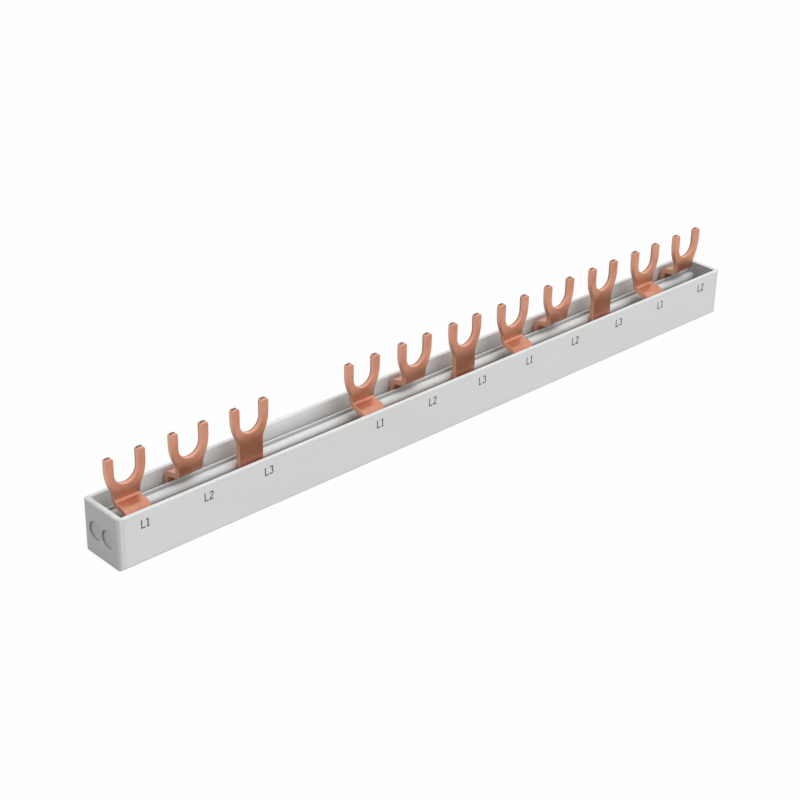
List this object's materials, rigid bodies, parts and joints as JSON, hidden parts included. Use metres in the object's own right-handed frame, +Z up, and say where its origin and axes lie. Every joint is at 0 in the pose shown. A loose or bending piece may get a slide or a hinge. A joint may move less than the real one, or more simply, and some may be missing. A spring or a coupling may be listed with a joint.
{
  "type": "comb busbar",
  "caption": "Three-phase comb busbar: bent copper fork combs in an open grey insulating channel with end caps, linking the terminals of a row of modular devices.",
  "frame": {"origin": "middle of the underside, which is the middle of the bounding box at its bottom", "axes": "+X along the row of forks from the first module place to the last, +Y from the marked front wall to the back wall, +Z up, the way the forks point"},
  "size_m": [0.2116, 0.0138, 0.0255],
  "materials": {
    "channel": "extruded, fine satin",
    "end_cap": "moulded, matt",
    "copper": "stamped and bent copper sheet, satin"
  },
  "bodies": {
    "root": {"channel": "channel", "conductor_l1": "copper", "conductor_l2": "copper", "conductor_l3": "copper", "end_cap_left": "end_cap", "end_cap_right": "end_cap"}
  },
  "joints": []
}
